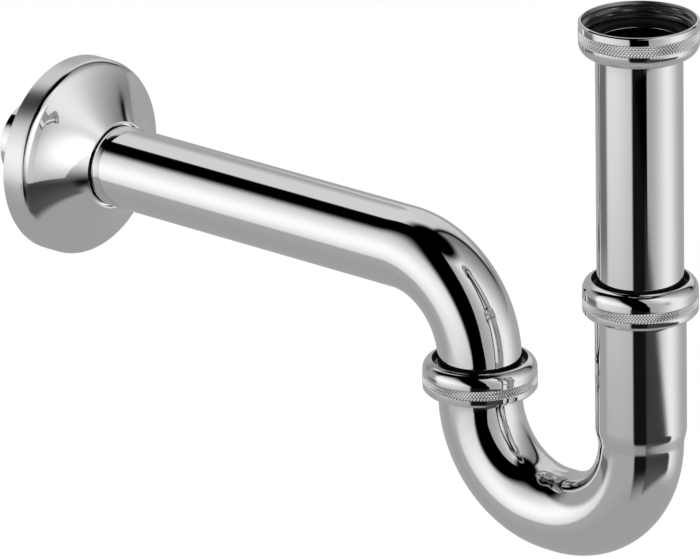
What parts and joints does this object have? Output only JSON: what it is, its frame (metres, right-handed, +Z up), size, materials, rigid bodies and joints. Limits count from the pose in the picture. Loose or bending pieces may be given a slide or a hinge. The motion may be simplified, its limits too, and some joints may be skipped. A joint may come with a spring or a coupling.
{
  "type": "tubular trap",
  "caption": "Chrome-plated tubular P-shaped basin trap: tail tube, U-bend with deep socket, bent outlet tube to the wall, knurled nuts and a bell-shaped wall rosette.",
  "frame": {"origin": "on the inlet axis, where the inlet union nut's thread starts, just inside its mouth", "axes": "+Z up along the inlet axis, out of the union nut; the outlet tube runs towards -X, to the wall; Y completes the right hand"},
  "size_m": [0.3296, 0.077, 0.2162],
  "materials": {
    "chrome": "polished",
    "rubber": "matte",
    "slip_ring": "matte"
  },
  "bodies": {
    "tail": {"tail_tube": "chrome", "inlet_gasket": "rubber"},
    "inlet_nut": {"inlet_union_nut": "chrome"},
    "seal": {"upper_seal": "rubber"},
    "bend": {"u_bend": "chrome", "outlet_gasket": "rubber"},
    "slip_ring": {"upper_slip_ring": "slip_ring"},
    "slip_nut": {"upper_slip_nut": "chrome"},
    "outlet": {"outlet_tube": "chrome"},
    "outlet_ring": {"outlet_slip_ring": "chrome"},
    "outlet_nut": {"outlet_union_nut": "chrome"},
    "rosette": {"wall_rosette": "chrome"}
  },
  "joints": [
    {"name": "inlet_nut_spin", "type": "hinge", "parent": "tail", "child": "inlet_nut", "pos_m": [0, 0, 0], "axis": [0, 0, 1], "continuous": true},
    {"name": "height_slide", "type": "slide", "parent": "tail", "child": "seal", "axis": [0, 0, 1], "range_m": [-0.03, 0.004]},
    {"name": "trap_swivel", "type": "hinge", "parent": "seal", "child": "bend", "pos_m": [0, 0, -0.1044], "axis": [0, 0, 1], "continuous": true},
    {"name": "slip_nut_lift", "type": "slide", "parent": "bend", "child": "slip_ring", "axis": [0, 0, 1], "range_m": [0, 0.009]},
    {"name": "slip_nut_turn", "type": "hinge", "parent": "slip_ring", "child": "slip_nut", "pos_m": [0, 0, -0.105], "axis": [0, 0, 1], "range_deg": [0, 2160]},
    {"name": "outlet_swivel", "type": "hinge", "parent": "bend", "child": "outlet", "pos_m": [-0.0775, 0, -0.1528], "axis": [0, 0, 1], "range_deg": [-120, 120]},
    {"name": "outlet_nut_lift", "type": "slide", "parent": "bend", "child": "outlet_ring", "axis": [0, 0, 1], "range_m": [0, 0.003]},
    {"name": "outlet_nut_turn", "type": "hinge", "parent": "outlet_ring", "child": "outlet_nut", "pos_m": [-0.0775, 0, -0.154], "axis": [0, 0, 1], "range_deg": [0, 720]},
    {"name": "rosette_slide", "type": "slide", "parent": "outlet", "child": "rosette", "axis": [1, 0, 0], "range_m": [-0.02, 0.14]}
  ],
  "couplings": [
    {"joint": "slip_nut_lift", "follows": "slip_nut_turn", "m_per_rad": 0.00023873},
    {"joint": "outlet_nut_lift", "follows": "outlet_nut_turn", "m_per_rad": 0.00023873}
  ]
}
